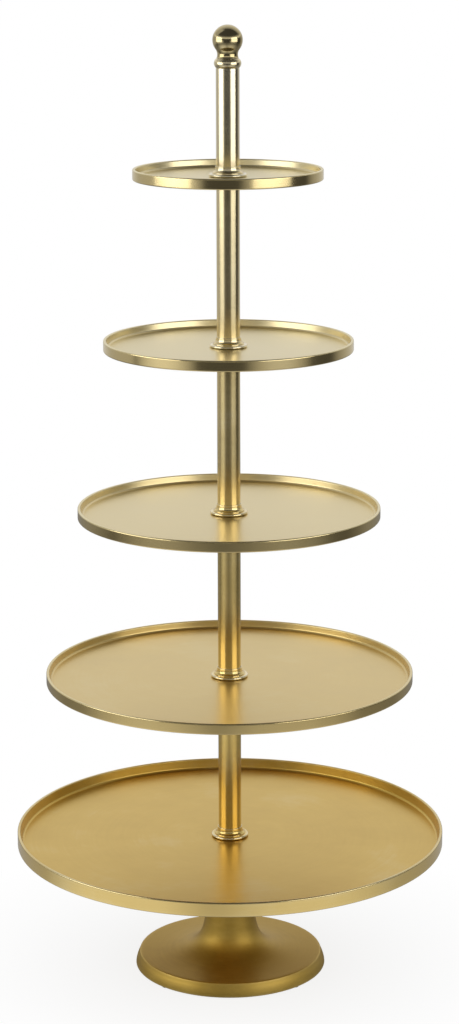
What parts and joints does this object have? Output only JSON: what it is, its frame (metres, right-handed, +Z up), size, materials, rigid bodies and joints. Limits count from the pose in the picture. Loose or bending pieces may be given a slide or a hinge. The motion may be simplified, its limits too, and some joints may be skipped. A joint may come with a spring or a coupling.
{
  "type": "tiered etagere",
  "caption": "Round tiered display stand: shallow rimmed trays of falling diameter on a screwed tube pole, over a hollow trumpet foot, with a ball finial that unscrews.",
  "frame": {"origin": "on the floor, under the middle of the foot", "axes": "+Z up along the pole, -Y towards the picture's viewer, +X to the viewer's right"},
  "size_m": [0.6, 0.6, 1.3297],
  "materials": {
    "tray_metal": "brass-coloured plating, brushed to a satin",
    "foot_metal": "brass-coloured plating, brushed to a satin",
    "pole_metal": "polished",
    "plain_steel": "plain zinc-plated",
    "pad_rubber": "matte"
  },
  "bodies": {
    "stand": {"foot_casting": "foot_metal", "foot_pad_1": "pad_rubber", "foot_pad_2": "pad_rubber", "foot_pad_3": "pad_rubber", "foot_pad_4": "pad_rubber", "foot_washer": "plain_steel", "foot_nut": "plain_steel", "tier_1_tray": "tray_metal", "tier_1_collar": "pole_metal", "tier_1_stud": "plain_steel", "tier_1_tube": "pole_metal", "tier_1_tube_plug": "plain_steel", "tier_2_tray": "tray_metal", "tier_2_collar": "pole_metal", "tier_2_stud": "plain_steel", "tier_2_tube": "pole_metal", "tier_2_tube_plug": "plain_steel", "tier_3_tray": "tray_metal", "tier_3_collar": "pole_metal", "tier_3_stud": "plain_steel", "tier_3_tube": "pole_metal", "tier_3_tube_plug": "plain_steel", "tier_4_tray": "tray_metal", "tier_4_collar": "pole_metal", "tier_4_stud": "plain_steel", "tier_4_tube": "pole_metal", "tier_4_tube_plug": "plain_steel", "tier_5_tray": "tray_metal", "tier_5_collar": "pole_metal", "tier_5_stud": "plain_steel", "tier_5_tube": "pole_metal", "tier_5_tube_plug": "plain_steel", "finial_cap": "pole_metal"},
    "finial_stud": {"finial_stud": "plain_steel"},
    "finial_knob": {"finial_knob": "pole_metal"}
  },
  "joints": [
    {"name": "finial_lift", "type": "slide", "parent": "stand", "child": "finial_stud", "axis": [0, 0, 1], "range_m": [0, 0.012]},
    {"name": "finial_turn", "type": "hinge", "parent": "finial_stud", "child": "finial_knob", "pos_m": [0, 0, 1.2718], "axis": [0, 0, 1], "range_deg": [0, 3456]}
  ],
  "couplings": [
    {"joint": "finial_turn", "follows": "finial_lift", "rad_per_m": 5026.5}
  ]
}
